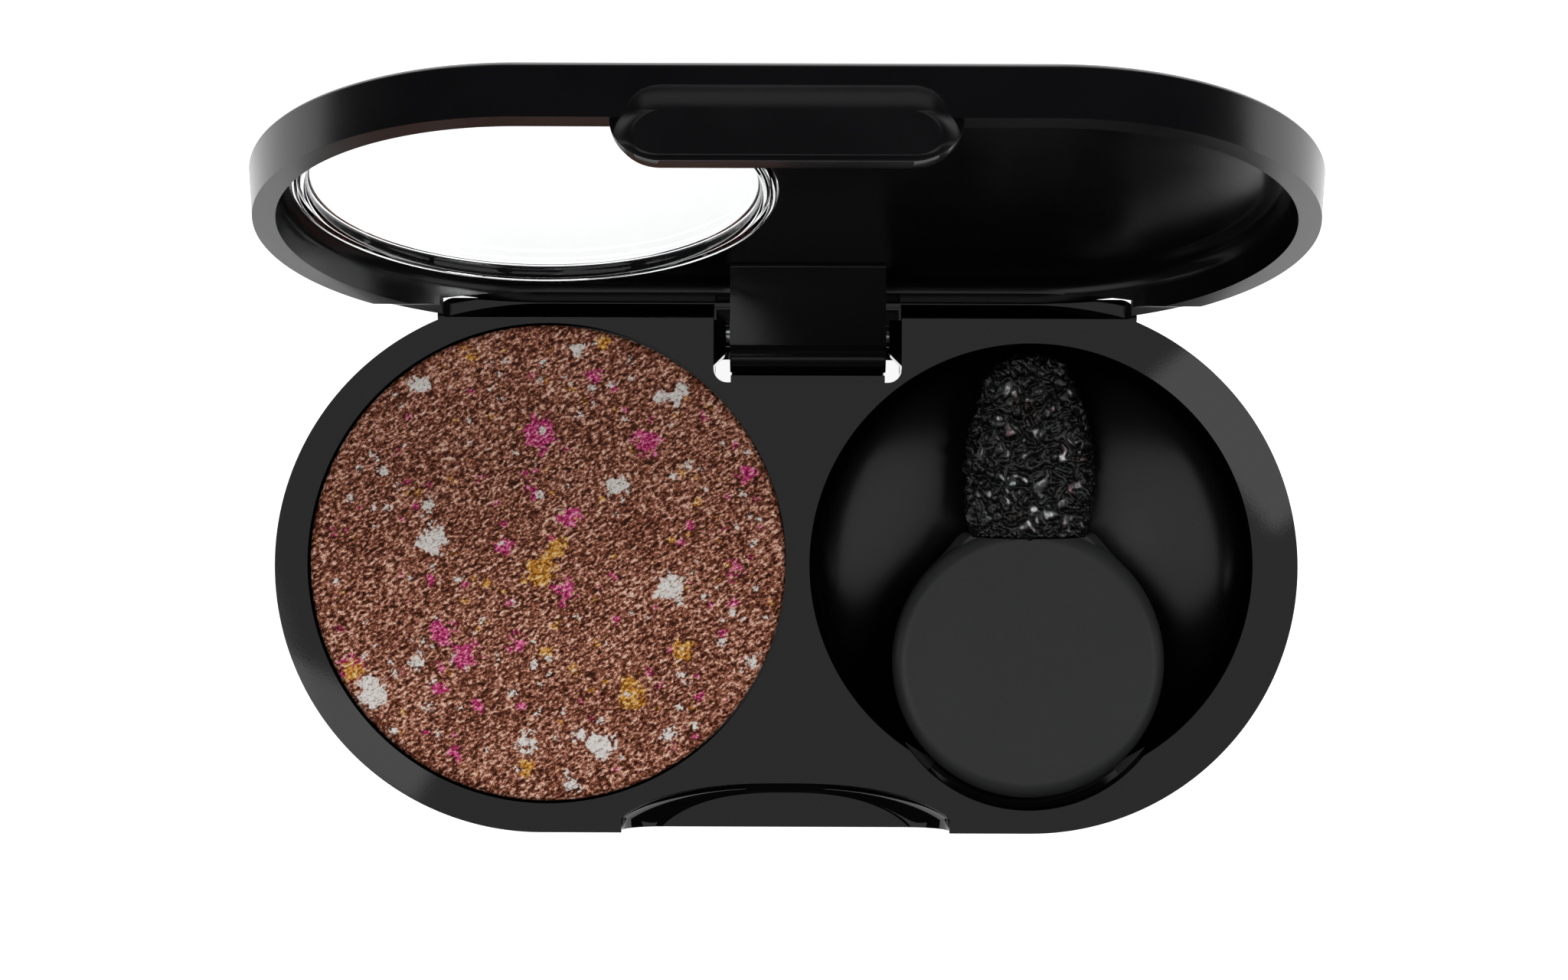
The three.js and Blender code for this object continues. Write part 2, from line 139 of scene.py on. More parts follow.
def loft(name, rings, lid=True):
    """A closed solid through rings of (x, y, z) with equal counts, first ring at the bottom.
    Without a lid the last ring folds flat on itself, and its meeting points are merged."""
    count = len(rings[0])
    points = [point for ring in rings for point in ring]
    faces = [list(range(count))[::-1]]
    for level in range(len(rings) - 1):
        base = level * count
        for j in range(count):
            k = (j + 1) % count
            faces.append([base + j, base + k, base + count + k, base + count + j])
    if lid:
        faces.append([len(points) - count + j for j in range(count)])
        return mesh_object(name, points, faces)
    return clean(mesh_object(name, points, faces))


def flat_ring(outline, z):
    return [(x, y, z) for x, y in outline]


def prism(name, outline, bottom, top):
    return loft(name, [flat_ring(outline, bottom), flat_ring(outline, top)])


def slab(name, outline, left, right):
    """An anticlockwise Y-Z outline carried along X."""
    return loft(name, [[(x, y, z) for y, z in outline] for x in (left, right)])


def block(name, low, high):
    outline = [(low[0], low[1]), (high[0], low[1]), (high[0], high[1]), (low[0], high[1])]
    return prism(name, outline, low[2], high[2])


def turned(name, profile, x, y, segments=192):
    """A solid of revolution about a vertical axis. The profile of (radius, z) runs from the
    bottom of the axis, round the outside, to its top; off the axis it must be closed."""
    points, rows = [], []
    for radius, z in profile:
        if radius <= 1e-9:
            rows.append([len(points)] * segments)
            points.append((x, y, z))
            continue
        rows.append(list(range(len(points), len(points) + segments)))
        for j in range(segments):
            angle = 2 * math.pi * j / segments
            points.append((x + radius * math.cos(angle), y + radius * math.sin(angle), z))
    faces = []
    off_axis = profile[0][0] > 0
    following = rows[1:] + rows[:1] if off_axis else rows[1:]
    for lower, upper in zip(rows, following):
        for j in range(segments):
            k = (j + 1) % segments
            face = [lower[j], lower[k], upper[k], upper[j]]
            faces.append([v for i, v in enumerate(face) if v != face[i - 1]])
    return mesh_object(name, points, faces)


def bar(name, profile, y, z, segments=96):
    """A solid of revolution about a line along X. The profile is (radius, x)."""
    piece = turned(name, profile, 0, 0, segments)
    along_x = Matrix.Rotation(math.pi / 2, 4, "Y")
    piece.data.transform(Matrix.Translation((0, y * MM, z * MM)) @ along_x)
    return piece


def apply_modifiers(piece):
    """Bakes a piece's modifiers into its mesh."""
    bpy.context.view_layer.update()
    graph = bpy.context.evaluated_depsgraph_get()
    result = bpy.data.meshes.new_from_object(piece.evaluated_get(graph))
    old = piece.data
    piece.modifiers.clear()
    piece.data = result
    bpy.data.meshes.remove(old)
    return piece


def combine(piece, tool, operation):
    """Joins or cuts a piece with a tool, and removes the tool."""
    modifier = piece.modifiers.new(operation, "BOOLEAN")
    modifier.operation = operation
    modifier.solver = "EXACT"
    modifier.object = tool
    apply_modifiers(piece)
    bpy.data.objects.remove(tool)
    return piece


def cut(piece, *tools):
    for tool in tools:
        combine(piece, tool, "DIFFERENCE")
    return piece


def join(piece, *others):
    for other in others:
        combine(piece, other, "UNION")
    return piece


def clean(piece, distance=0.004):
    """Merges the tiny edges that cutting leaves, so that edge rounding works."""
    mesh = bmesh.new()
    mesh.from_mesh(piece.data)
    bmesh.ops.remove_doubles(mesh, verts=mesh.verts, dist=distance * MM)
    bmesh.ops.dissolve_degenerate(mesh, edges=mesh.edges, dist=distance * MM)
    mesh.to_mesh(piece.data)
    mesh.free()
    return piece


def round_edges(piece, width, segments=3, angle=32.0):
    """Rounds every edge sharper than the angle, and keeps flat faces flat in shading."""
    bevel = piece.modifiers.new("edges", "BEVEL")
    bevel.width = width * MM
    bevel.segments = segments
    bevel.limit_method = "ANGLE"
    bevel.angle_limit = math.radians(angle)
    bevel.harden_normals = False
    bevel.miter_outer = "MITER_ARC"
    apply_modifiers(piece)
    return shade(piece, angle)


def shade(piece, angle=32.0):
    """Smooth shading that keeps edges sharper than the angle crisp and flat faces flat."""
    for polygon in piece.data.polygons:
        polygon.use_smooth = True
    piece.data.set_sharp_from_angle(angle=math.radians(angle))
    weighted = piece.modifiers.new("flat_faces", "WEIGHTED_NORMAL")
    weighted.keep_sharp = True
    weighted.weight = 100
    return apply_modifiers(piece)


def finish_piece(piece, material, body, node):
    """Gives a piece its material, its body and the CAD node it stands for."""
    piece.data.materials.clear()
    piece.data.materials.append(material)
    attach(piece, body)
    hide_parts(node)
    return piece


# ------------------------------------------------------------------ outlines
def arc(x, y, radius, start, end, steps):
    """Points on a circle from one angle in degrees to another, both ends included."""
    angles = np.radians(np.linspace(start, end, steps + 1))
    return [(x + radius * math.cos(a), y + radius * math.sin(a)) for a in angles]


def stadium(radius, steps=96):
    right = arc(END_SPACING, 0, radius, -90, 90, steps)
    return right + arc(-END_SPACING, 0, radius, 90, 270, steps)


def rounded_rectangle(left, right, front, back, radius, steps=10):
    return (
        arc(right - radius, front + radius, radius, -90, 0, steps)
        + arc(right - radius, back - radius, radius, 0, 90, steps)
        + arc(left + radius, back - radius, radius, 90, 180, steps)
        + arc(left + radius, front + radius, radius, 180, 270, steps)
    )


# ------------------------------------------------------------------ material tools
class Nodes:
    """Short ways to make the nodes that these materials share."""

    def __init__(self, name):
        self.material = bpy.data.materials.new(name)
        self.material.use_nodes = True
        self.tree = self.material.node_tree
        self.surface = self.tree.nodes["Principled BSDF"]
        coordinates = self.tree.nodes.new("ShaderNodeTexCoord")
        self.place = coordinates.outputs["Object"]

    def node(self, kind):
        return self.tree.nodes.new(kind)

    def attribute(self, name):
        made = self.node("ShaderNodeAttribute")
        made.attribute_name = name
        return made.outputs

    def link(self, source, target):
        self.tree.links.new(source, target)

    def noise(self, size_mm, detail=3.0, roughness=0.55, place=None):
        made = self.node("ShaderNodeTexNoise")
        made.inputs["Scale"].default_value = 1 / (size_mm * MM)
        made.inputs["Detail"].default_value = detail
        made.inputs["Roughness"].default_value = roughness
        self.link(place or self.place, made.inputs["Vector"])
        return made.outputs["Fac"]

    def cells(self, size_mm):
        made = self.node("ShaderNodeTexVoronoi")
        made.inputs["Scale"].default_value = 1 / (size_mm * MM)
        self.link(self.place, made.inputs["Vector"])
        return made.outputs["Distance"]

    def ramp(self, factor, stops):
        made = self.node("ShaderNodeValToRGB")
        elements = made.color_ramp.elements
        while len(elements) < len(stops):
            elements.new(0.5)
        for element, (position, color) in zip(elements, stops):
            element.position = position
            element.color = (*color, 1)
        self.link(factor, made.inputs["Fac"])
        return made.outputs["Color"]

    def math(self, operation, first, second):
        made = self.node("ShaderNodeMath")
        made.operation = operation
        for socket, value in zip(made.inputs, (first, second)):
            if isinstance(value, (int, float)):
                socket.default_value = value
            else:
                self.link(value, socket)
        return made.outputs["Value"]

    def span(self, factor, low, high, from_low=0.0, from_high=1.0):
        made = self.node("ShaderNodeMapRange")
        made.inputs["From Min"].default_value = from_low
        made.inputs["From Max"].default_value = from_high
        made.inputs["To Min"].default_value = low
        made.inputs["To Max"].default_value = high
        self.link(factor, made.inputs["Value"])
        return made.outputs["Result"]

    def mix(self, factor, first, second, blend="MIX"):
        made = self.node("ShaderNodeMix")
        made.data_type = "RGBA"
        made.blend_type = blend
        for socket, value in (("Factor", factor), ("A", first), ("B", second)):
            target = [s for s in made.inputs if s.name == socket and s.enabled][0]
            if isinstance(value, float):
                target.default_value = value
            else:
                self.link(value, target)
        return [s for s in made.outputs if s.enabled][0]

    def bump(self, height, depth_mm, strength=1.0):
        made = self.node("ShaderNodeBump")
        made.inputs["Strength"].default_value = strength
        made.inputs["Distance"].default_value = depth_mm * MM
        self.link(height, made.inputs["Height"])
        return made.outputs["Normal"]

    def set(self, **sockets):
        for name, value in sockets.items():
            socket = self.surface.inputs[name.replace("_", " ")]
            if isinstance(value, tuple):
                socket.default_value = (*value, 1)
            elif isinstance(value, float):
                socket.default_value = value
            else:
                self.link(value, socket)


def moulded_plastic(name, color, roughness, grain_mm, grain_depth_mm, spread=0.04):
    """Injection-moulded black plastic: fine spark grain, faint flow clouding, varied sheen."""
    n = Nodes(name)
    cloud = n.noise(6.0, 2.0)
    grain = n.noise(grain_mm, 2.0, 0.6)
    dark = tuple(c * 0.88 for c in color)
    light = tuple(c * 1.12 for c in color)
    tone = n.math("ADD", n.math("MULTIPLY", cloud, 0.5), n.math("MULTIPLY", grain, 0.5))
    n.set(
        Base_Color=n.ramp(tone, [(0.35, dark), (0.65, light)]),
        Roughness=n.span(cloud, roughness - spread, roughness + spread, 0.3, 0.7),
        Normal=n.bump(grain, grain_depth_mm, 0.6),
    )
    return n.material


def steel_wire():
    """Bright drawn wire with fine streaks."""
    n = Nodes("drawn_steel")
    streak = n.noise(0.05, 4.0)
    n.set(
        Base_Color=n.ramp(streak, [(0.3, (0.42, 0.43, 0.45)), (0.7, (0.62, 0.63, 0.66))]),
        Metallic=1.0,
        Roughness=n.span(streak, 0.18, 0.34),
        Normal=n.bump(streak, 0.003, 0.5),
    )
    return n.material


def foam_tape():
    """Pale foam tape with fine pores."""
    n = Nodes("foam_tape")
    pores = n.cells(0.12)
    n.set(
        Base_Color=n.ramp(pores, [(0.1, (0.6, 0.57, 0.5)), (0.7, (0.85, 0.83, 0.75))]),
        Roughness=0.8,
        Normal=n.bump(pores, 0.03),
    )
    return n.material


def unglazed_tile():
    """Gritty fired clay."""
    n = Nodes("unglazed_tile")
    grit = n.noise(0.25, 5.0)
    n.set(
        Base_Color=n.ramp(grit, [(0.3, (0.26, 0.22, 0.18)), (0.7, (0.5, 0.45, 0.38))]),
        Roughness=0.9,
        Normal=n.bump(grit, 0.04),
    )
    return n.material


def clear_plastic():
    """Clear polished plastic with a trace of haze."""
    n = Nodes("clear_plastic")
    haze = n.noise(3.0, 2.0)
    n.set(
        Base_Color=(0.985, 0.992, 0.995),
        Transmission_Weight=1.0,
        IOR=1.49,
        Roughness=n.span(haze, 0.0, 0.012, 0.3, 0.7),
    )
    return n.material


def sponge_foam():
    """Black foam with a trace of tints, and painted light on it: painted highlights on its bumps with a
    few bright painted glints, and painted shade in its creases.
    """
    n = Nodes("sponge_foam")
    crest_highlight = n.attribute("crest_highlight")["Fac"]
    patch = n.noise(0.9, 2.0)
    fine = n.noise(0.2, 3.0)
    # Painted highlight: the crests of the bumps are made paler, patchily, and the creases stay dark as
    # painted shade.
    lit = n.math("MULTIPLY", crest_highlight, n.span(patch, 0.2, 1.0, 0.35, 0.68))
    # The fine noise also drives the bump below, so raised specks get painted glints and low ones painted
    # shade.
    speckle = n.math("MULTIPLY", n.math("SUBTRACT", fine, 0.5), 0.9)
    tone = n.math("ADD", lit, speckle)
    # The top stops of this ramp are painted highlights and glints, and the lowest is painted shade.
    grey = n.ramp(tone, [(0.05, (0.002, 0.002, 0.002)), (0.22, (0.03, 0.031, 0.03)),
                         (0.45, (0.11, 0.112, 0.11)), (0.66, (0.4, 0.4, 0.4)), (0.85, (0.9, 0.9, 0.9))])
    tint = n.ramp(n.noise(1.6, 2.0), [(0.34, (1.0, 0.55, 0.55)), (0.44, (1, 1, 1)),
                                      (0.56, (1, 1, 1)), (0.66, (0.75, 1.0, 0.85))])
    n.set(
        Base_Color=n.mix(1.0, grey, tint, "MULTIPLY"),
        Roughness=n.span(fine, 0.16, 0.4, 0.3, 0.7),
        Normal=n.bump(fine, 0.04, 0.6),
        Specular_IOR_Level=0.8,
    )
    return n.material


# ------------------------------------------------------------------ fine surface relief
def smooth_noise(points, size, seed):
    """Gradient noise, about -1 to 1, at points in mm, with features of about that size."""
    random = np.random.default_rng(seed)
    order = random.permutation(256)
    slopes = random.normal(size=(256, 3))
    slopes /= np.linalg.norm(slopes, axis=1, keepdims=True)
    place = np.asarray(points, float) / size
    cell = np.floor(place).astype(int)
    part = place - cell
    ease = part * part * part * (part * (part * 6 - 15) + 10)
    total = np.zeros(len(place))
    for corner in np.ndindex(2, 2, 2):
        key = (cell + corner) % 256
        index = order[(order[(order[key[:, 0]] + key[:, 1]) % 256] + key[:, 2]) % 256]
        height = np.sum(slopes[index] * (part - corner), axis=1)
        share = np.where(np.array(corner) == 1, ease, 1 - ease).prod(axis=1)
        total += height * share
    return total * 1.5


def step_between(low, high, value):
    """0 below low, 1 above high, with a smooth step between."""
    t = np.clip((value - low) / (high - low), 0, 1)
    return t * t * (3 - 2 * t)


# ------------------------------------------------------------------ base
def bowl_shape(name, grow, top):
    """The well: a short straight wall above half an ellipsoid."""
    shoulder_z = DECK_Z - WELL_STRAIGHT
    shoulder = WELL_RADIUS - BASE_DRAFT * 0.45 + grow
    drop = WELL_DEPTH - WELL_STRAIGHT + grow
    profile = [(shoulder * math.cos(a), shoulder_z - drop * math.sin(a))
               for a in np.linspace(math.pi / 2, 0, 41)]
    profile[0] = (0, profile[0][1])
    rim = WELL_RADIUS + grow
    return turned(name, profile + [(rim, DECK_Z), (rim, top), (0, top)], WELL_X, WELL_Y, 256)


def disc_shape(name, radius, bottom, top, x, y, segments=256):
    return turned(name, [(0, bottom), (radius, bottom), (radius, top), (0, top)], x, y, segments)


def notch_outline(margin, inset_x=0.0, inset_y=0.0):
    """Back edge of the thumb notch from right to left: nearly flat, with rounded shoulders."""
    half = THUMB_HALF + margin - inset_x
    depth = THUMB_SHOULDER + 0.18 - THUMB_DEPTH
    outline = []
    for angle in np.linspace(0, math.pi, 97):
        x = math.cos(angle)
        rise = depth * max(1 - abs(x) ** 2.6, 0) ** 0.75
        outline.append((half * x, margin - inset_y - THUMB_SHOULDER - 0.18 + rise))
    return outline


def thumb_notch(name, margin, front, bottom, top):
    """A straight-sided block of the thumb notch's outline."""
    outline = notch_outline(margin)
    return prism(name, [(outline[-1][0], front), (outline[0][0], front)] + outline, bottom, top)


def notch_scoop(name, top):
    """The space of the thumb notch: a level ledge with hollow corners up to its walls."""
    rings = []
    for angle in list(np.linspace(0, math.pi / 2, 14)) + [None]:
        fade = 0 if angle is None else 1 - math.sin(angle)
        z = top if angle is None else THUMB_LEDGE_Z + 2.1 * (1 - math.cos(angle))
        outline = notch_outline(0, 2.7 * fade, 0.85 * fade)
        front = -END_RADIUS - 1
        rings.append([(x, y, z) for x, y in [(outline[-1][0], front), (outline[0][0], front)] + outline])
    return loft(name, rings)


def hinge_lug(name, wall_x, side):
    """Plate on a wall of the slot, with a chamfered front and a top that slopes to the back."""
    face = wall_x + side * 0.8
    root = wall_x - side * 0.2
    back = REAR_DECK_Y - 0.1
    outline = [(root, 13.15), (wall_x, 13.15), (face, 13.95), (face, back), (root, back)][::side]
    top = [(x, y, DECK_Z - 0.15 - 0.16 * (y - 13.15)) for x, y in outline]
    return loft(name, [flat_ring(outline, HINGE_Z - 2.6), top])


def pin_saddle(left, right):
    """The pin's seat, open below so that the pin goes in before the cover closes it."""
    radius = PIN_HOLE + 0.15
    hole = bar("saddle", [(0, left), (radius, left), (radius, right), (0, right)], HINGE_Y, HINGE_Z)
    way_in = block("way_in", (left, HINGE_Y - radius, PARTING_Z - 1), (right, HINGE_Y + radius, HINGE_Z))
    return join(hole, way_in)


def deck_body():
    """Upper moulding: deck, pan seat, applicator well, hinge slot and thumb notch."""
    draft = END_RADIUS - BASE_DRAFT
    body = loft("deck_visual", [
        flat_ring(stadium(draft), PARTING_Z),
        flat_ring(stadium(END_RADIUS), DECK_Z),
    ])
    cut(body, loft("hollow", [
        flat_ring(stadium(draft - WALL), PARTING_Z - 1),
        flat_ring(stadium(draft - WALL + 0.24), DECK_Z - DECK_THICK),
    ]))
    hidden = DECK_Z - 0.5
    inner_back = draft - 0.15
    slot_walls = [
        (SLOT_LEFT - 1.6, SLOT_LEFT + 0.5, inner_back),
        (SLOT_RIGHT - 0.5, SLOT_RIGHT + 1.6, inner_back),
        (SLOT_LEFT, SLOT_RIGHT, SLOT_FRONT + 0.6),
    ]
    join(
        body,
        disc_shape("pan_wall", PAN_RADIUS + 0.6, PAN_FLOOR - 0.8, hidden, PAN_X, PAN_Y),
        bowl_shape("bowl_wall", 0.8, hidden),
        disc_shape("shelf_wall", SHELF_RADIUS + 0.9, SHELF_Z - 1.0, hidden, DISC_X, DISC_Y - 0.05),
        thumb_notch("notch_wall", 0.9, -inner_back, THUMB_LEDGE_Z - 1.0, hidden),
        *[block("slot_wall", (left, SLOT_FRONT - 1.2, PARTING_Z), (right, back, hidden))
          for left, right, back in slot_walls],
    )
    above = DECK_Z + 1
    past_end = END_SPACING + END_RADIUS + 1
    slope = (REAR_FOOT_Y - REAR_DECK_Y) / REAR_DROP
    slot_outline = rounded_rectangle(SLOT_LEFT, SLOT_RIGHT, SLOT_FRONT, END_RADIUS + 3, 0.9)
    cut(
        body,
        disc_shape("pan", PAN_RADIUS, PAN_FLOOR, above, PAN_X, PAN_Y),
        bowl_shape("bowl", 0, above),
        disc_shape("shelf", SHELF_RADIUS, SHELF_Z, above, DISC_X, DISC_Y - 0.05),
        notch_scoop("notch", above),
        prism("slot", slot_outline, -1, above),
        slab("rear", [
            (REAR_DECK_Y - slope, DECK_Z + 1), (REAR_FOOT_Y + slope, DECK_Z - REAR_DROP - 1),
            (END_RADIUS + 2, DECK_Z - REAR_DROP - 1), (END_RADIUS + 2, DECK_Z + 1),
        ], -past_end, past_end),
    )
    lip_front = -THUMB_DEPTH - 0.62
    join(
        body,
        *[disc_shape("post", 1.0, 2.2, SHELF_Z, DISC_X + side * 3.45, -2.6, 48) for side in (-1, 1)],
        slab("catch_lip", [(lip_front, DECK_Z - 1.1), (-THUMB_DEPTH + 0.3, DECK_Z - 1.1),
                           (-THUMB_DEPTH + 0.3, DECK_Z - 0.12), (lip_front, DECK_Z - 0.5)], -2.6, 2.6),
        hinge_lug("lug_left", SLOT_LEFT, 1),
        hinge_lug("lug_right", SLOT_RIGHT, -1),
    )
    cut(
        body,
        pin_saddle(PIN_LOW.x - 0.2, SLOT_LEFT + 0.9),
        pin_saddle(SLOT_RIGHT - 0.9, PIN_HIGH.x + 0.2),
    )
    round_edges(clean(body), 0.11)
    mark_well(body)
    return body


def mark_well(body):
    """Stores 1 on the faces of the applicator well, which is a little less glossy, and 0 elsewhere."""
    well = body.data.attributes.new("well", "FLOAT", "FACE")
    values = []
    for face in body.data.polygons:
        place = face.center / MM
        inside = math.hypot(place.x - WELL_X, place.y - WELL_Y) < WELL_RADIUS + 0.15
        values.append(1.0 if inside and place.z < DECK_Z - 0.01 else 0.0)
    well.data.foreach_set("value", values)


def bottom_cover():
    """Lower shell with the rear rail, the stop of the open lid and the posts under the pin."""
    radius = END_RADIUS - BASE_DRAFT
    foot = [(radius - 1.2, 0), (radius - 0.85, 0.12), (radius - 0.55, 0.27), (radius - 0.35, 0.45),
            (radius - 0.18, 0.8), (radius - 0.08, 1.2), (radius, PARTING_Z)]
    body = loft("cover_visual", [flat_ring(stadium(r), z) for r, z in foot])
    cut(body, loft("inside", [
        flat_ring(stadium(radius - WALL - 0.3), 1.0),
        flat_ring(stadium(radius - WALL), 1.4),
        flat_ring(stadium(radius - WALL), PARTING_Z + 1),
    ]))
    join(body, prism("rail", rounded_rectangle(-RAIL_HALF, RAIL_HALF, 15.4, RAIL_BACK, 1.15), 0.4, 2.5))
    stop_back = DECK_Z - 5.05
    join(body, slab("stop", [(14.7, 0.3), (17.05, 0.3), (17.05, stop_back), (14.7, stop_back + 0.7)],
                    SLOT_LEFT + 0.1, SLOT_RIGHT - 0.1))
    for left, right in ((SLOT_LEFT, KNUCKLE_LEFT), (KNUCKLE_RIGHT, SLOT_RIGHT)):
        cut(body, block("corner", (left, SLOT_FRONT, -1), (right, CORNER_BACK, PARTING_Z + 1)))
    ledge_low = (KNUCKLE_LEFT, SLOT_FRONT + 0.05, 0.3)
    ledge_high = (KNUCKLE_RIGHT, 12.6, DECK_Z - 3.2)
    join(body, block("front_ledge", ledge_low, ledge_high))
    for left, right in ((PIN_LOW.x, SLOT_LEFT - 0.3), (SLOT_RIGHT + 0.3, PIN_HIGH.x)):
        join(body, block("pin_post", (left, HINGE_Y - 0.6, 0.8), (right, HINGE_Y + 0.6, PIN_LOW.z - 0.1)))
    return round_edges(clean(body), 0.08)


def hinge_pin():
    """Short wire with chamfered ends."""
    radius = PIN_HIGH.z - HINGE_Z
    ends = [(0, PIN_LOW.x), (radius - 0.12, PIN_LOW.x), (radius, PIN_LOW.x + 0.12),
            (radius, PIN_HIGH.x - 0.12), (radius - 0.12, PIN_HIGH.x), (0, PIN_HIGH.x)]
    return shade(bar("pin_visual", ends, HINGE_Y, HINGE_Z))


# ------------------------------------------------------------------ shadow
def tile_adhesive():
    """Ring of foam tape that holds the tile in the pan."""
    inner, outer = 6.0, (TAPE_HIGH.x - TAPE_LOW.x) / 2
    low, high = TAPE_LOW.z, TAPE_HIGH.z
    ring = [(inner, low), (outer, low), (outer, high), (inner, high)]
    return shade(turned("tape_visual", ring, PAN_X, PAN_Y))


def powder_tile():
    """Thin round tile that carries the shadow."""
    radius = (TILE_HIGH.x - TILE_LOW.x) / 2
    low, high = TILE_LOW.z, TILE_HIGH.z
    edge = [(0, low), (radius - 0.15, low), (radius, low + 0.15), (radius, high - 0.15),
            (radius - 0.15, high), (0, high)]
    return shade(turned("tile_visual", edge, PAN_X, PAN_Y))


# The few largest glitter crumbs: x and y from the pan's centre, and radius, in mm
PINK_CRUMBS = [(-0.5, 8.5, 1.4), (6.5, 8.0, 1.1), (-5.5, -6.0, 1.1), (-13.0, -7.0, 1.0)]
WHITE_CRUMBS = [(-7.5, 1.5, 1.2), (8.0, -1.5, 1.1), (-11.5, -8.5, 1.2), (3.5, -12.0, 1.1), (4.5, 5.0, 0.9)]
GOLD_CRUMBS = [(-0.5, -0.5, 1.3), (0.5, 1.0, 0.8), (5.5, -8.5, 1.1)]


def scattered(random, count, smallest, largest):
    """Crumbs at random places on the disc, with more small ones than large ones."""
    crumbs = []
    for _ in range(count):
        reach = (POWDER_RADIUS - 0.6) * math.sqrt(random.random())
        turn = random.random() * 2 * math.pi
        radius = smallest + (largest - smallest) * random.random() ** 2
        crumbs.append((reach * math.cos(turn), reach * math.sin(turn), radius))
    return crumbs


def crumb_field(flat, crumbs, seed, medium, small):
    """How deep each point is inside the nearest crumb, in mm, with ragged crumb outlines."""
    random = np.random.default_rng(seed)
    loose = scattered(random, medium, 0.45, 0.9) + scattered(random, small, 0.1, 0.3)
    ragged = 0.5 * smooth_noise(flat, 0.8, seed + 1) + 0.42 * smooth_noise(flat, 0.36, seed + 2)
    field = np.full(len(flat), -1.0)
    for x, y, radius in crumbs + loose:
        away = np.hypot(flat[:, 0] - x, flat[:, 1] - y)
        field = np.maximum(field, np.clip(radius * 0.78 - away + ragged * min(1.0, radius * 1.6), -1, 1))
    return field


def powder_relief(flat):
    """Height of the brushed, crumbly surface above its gentle crown, in mm."""
    waves = smooth_noise(flat, 2.2, 21)
    rib_pitch = 0.44
    across = -flat[:, 0] * math.sin(BRUSH_LEAN) + flat[:, 1] * math.cos(BRUSH_LEAN)
    along = flat[:, 0] * math.cos(BRUSH_LEAN) + flat[:, 1] * math.sin(BRUSH_LEAN)
    stretched = np.column_stack([along * 0.55, across, flat[:, 2]])
    ribs = np.sin(2 * math.pi * (across + 0.16 * waves) / rib_pitch)
    strength = 0.5 + 0.5 * smooth_noise(flat, 1.4, 22)
    crumbs = smooth_noise(stretched, 0.34, 23)
    fine = smooth_noise(stretched, 0.2, 24)
    swell = smooth_noise(flat, 3.5, 25)
    return 0.022 * ribs * strength + 0.06 * crumbs + 0.05 * fine + 0.02 * swell


def concentric_grid(count, radius):
    """A square grid bent into a disc: its points, and how far out each is from 0 to 1."""
    line = np.linspace(-1, 1, count)
    a, b = [axis.ravel() for axis in np.meshgrid(line, line)]
    wide = np.abs(a) > np.abs(b)
    reach = np.where(wide, a, b)
    safe_a = np.where(np.abs(a) < 1e-9, 1e-9, a)
    safe_b = np.where(np.abs(b) < 1e-9, 1e-9, b)
    turn = np.where(wide, math.pi / 4 * b / safe_a, math.pi / 2 - math.pi / 4 * a / safe_b)
    out = radius * reach
    flat = np.column_stack([out * np.cos(turn), out * np.sin(turn), np.zeros(len(a))])
    return flat, np.abs(reach)


def pressed_powder():
    """Baked shadow: a crowned disc with a pressed, ribbed and crumbly face."""
    count = 330
    flat, away = concentric_grid(count, POWDER_RADIUS)
    relief = powder_relief(flat)
    pink = crumb_field(flat, PINK_CRUMBS, 31, 12, 80)
    white = crumb_field(flat, WHITE_CRUMBS, 41, 11, 130)
    gold = crumb_field(flat, GOLD_CRUMBS, 51, 8, 70)
    raised = np.maximum(np.maximum(pink, white), gold)
    crown = POWDER_HIGH.z - 0.05 - 0.34 * away ** 2
    edge = 0.16 * step_between(0.985, 1.0, away)
    height = crown + relief * (1 - step_between(0.97, 1.0, away)) - edge
    height += 0.05 * step_between(-0.05, 0.12, raised)
    points = list(zip(flat[:, 0] + PAN_X, flat[:, 1] + PAN_Y, height))
    faces = []
    for row in range(count - 1):
        for column in range(count - 1):
            start = row * count + column
            faces.append([start, start + 1, start + count + 1, start + count])
    border = list(range(count)) + [row * count + count - 1 for row in range(1, count)]
    border += [(count - 1) * count + column for column in range(count - 2, -1, -1)]
    border += [row * count for row in range(count - 2, 0, -1)]
    low = POWDER_LOW.z
    start = len(points)
    for index in border:
        points.append((points[index][0], points[index][1], low))
    for j in range(len(border)):
        k = (j + 1) % len(border)
        faces.append([border[k], border[j], start + j, start + k])
    faces.append([start + j for j in range(len(border))][::-1])
    piece = mesh_object("powder_visual", points, faces)
    sides = len(border)
    # The fourth channel carries the relief, which the powder's material turns into painted shade in the
    # crevices and painted light on the tops.
    fields = np.column_stack([pink, white, gold, relief / 0.12]) * 0.5 + 0.5
    fields = np.vstack([fields, np.tile([0.0, 0.0, 0.0, 0.2], (sides, 1))])
    store = piece.data.color_attributes.new("crumbs", "FLOAT_COLOR", "POINT")
    store.data.foreach_set("color", np.clip(fields, 0, 1).ravel())
    for polygon in piece.data.polygons:
        polygon.use_smooth = len(polygon.vertices) == 4
    return piece


# ------------------------------------------------------------------ applicator
def quarter(radius_from, z_from, radius_to, z_to, steps=10):
    """An elliptical quarter from a vertical side to a level top, as (radius, z)."""
    return [(radius_to + (radius_from - radius_to) * math.cos(a), z_from + (z_to - z_from) * math.sin(a))
            for a in np.linspace(0, math.pi / 2, steps + 1)]


